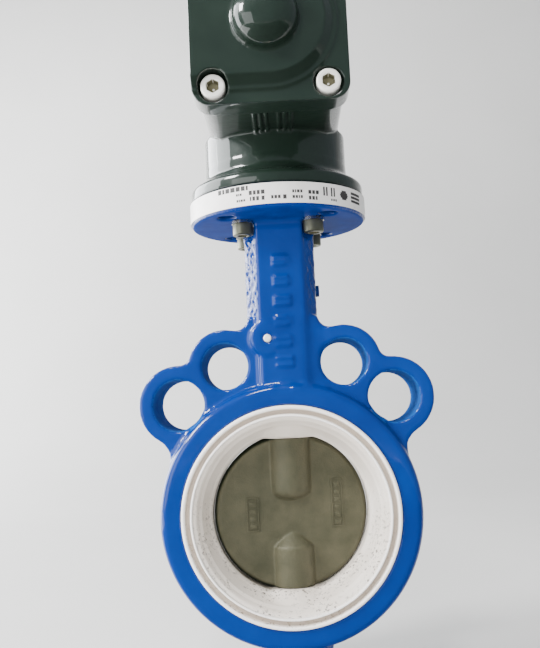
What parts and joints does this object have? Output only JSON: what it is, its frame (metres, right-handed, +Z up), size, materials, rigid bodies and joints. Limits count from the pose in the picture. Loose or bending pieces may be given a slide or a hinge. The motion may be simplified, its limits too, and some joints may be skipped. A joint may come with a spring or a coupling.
{
  "type": "rotary pneumatic actuator",
  "caption": "Rack-and-pinion rotary pneumatic actuator, spring return, bolted on the flanged neck of the rubber-lined wafer butterfly valve that it turns.",
  "frame": {"origin": "crossing of the stem axis and the pipe axis", "axes": "+Z up the stem towards the actuator, +Y along the pipe away from the pictured side, +X to the right in the picture"},
  "size_m": [0.1452, 0.183, 0.363],
  "materials": {
    "blue_enamel": "gloss",
    "green_coat": "gloss",
    "liner_rubber": "matte",
    "cast_stainless": "cast, matte",
    "bright_steel": "satin",
    "spring_steel": "satin",
    "seal_rubber": "matte",
    "bronze": "satin",
    "piston_alloy": "satin",
    "slide_plastic": "satin",
    "label_film": "satin",
    "indicator_plastic": "satin"
  },
  "bodies": {
    "frame": {"valve_body": "blue_enamel", "seat_liner": "liner_rubber", "upper_stem_bush": "bronze", "middle_stem_bush": "bronze", "lower_stem_bush": "bronze", "stem_seal_ring": "seal_rubber", "stem_retaining_pin": "bright_steel", "bottom_plug": "bright_steel", "neck_side_plug": "blue_enamel", "rating_label": "label_film", "mounting_screws": "bright_steel", "mounting_washers": "bright_steel", "centring_ring": "piston_alloy", "actuator_housing": "green_coat", "front_end_cap": "green_coat", "rear_end_cap": "green_coat", "front_cap_screws": "bright_steel", "rear_cap_screws": "bright_steel", "front_cap_seal": "seal_rubber", "rear_cap_seal": "seal_rubber", "pinion_lower_bush": "bronze", "pinion_upper_bush": "bronze", "pinion_lower_seal": "seal_rubber", "pinion_upper_seal": "seal_rubber", "thrust_washer": "slide_plastic", "stop_screws": "bright_steel", "stop_screw_nuts": "bright_steel"},
    "rotor": {"upper_stem": "bright_steel", "lower_stub_shaft": "bright_steel", "valve_disc": "cast_stainless", "pinion": "bright_steel", "stop_cam": "bright_steel", "snap_ring": "bright_steel", "position_indicator": "indicator_plastic", "indicator_screw": "bright_steel"},
    "front_slide": {"front_piston": "piston_alloy", "front_piston_seal": "seal_rubber", "front_guide_ring": "slide_plastic", "front_rack_pad": "slide_plastic", "front_spring": "spring_steel"},
    "rear_slide": {"rear_piston": "piston_alloy", "rear_piston_seal": "seal_rubber", "rear_guide_ring": "slide_plastic", "rear_rack_pad": "slide_plastic", "rear_spring": "spring_steel"}
  },
  "joints": [
    {"name": "stem_turn", "type": "hinge", "parent": "frame", "child": "rotor", "pos_m": [0, 0, 0], "axis": [0, 0, 1], "range_deg": [-8, 82]},
    {"name": "front_piston_slide", "type": "slide", "parent": "frame", "child": "front_slide", "axis": [0, -1, 0], "range_m": [-0.0018, 0.0173], "deforming": ["front_spring"]},
    {"name": "rear_piston_slide", "type": "slide", "parent": "frame", "child": "rear_slide", "axis": [0, 1, 0], "range_m": [-0.0018, 0.0173], "deforming": ["rear_spring"]}
  ],
  "couplings": [
    {"joint": "front_piston_slide", "follows": "stem_turn", "m_per_rad": 0.012},
    {"joint": "rear_piston_slide", "follows": "stem_turn", "m_per_rad": 0.012}
  ]
}
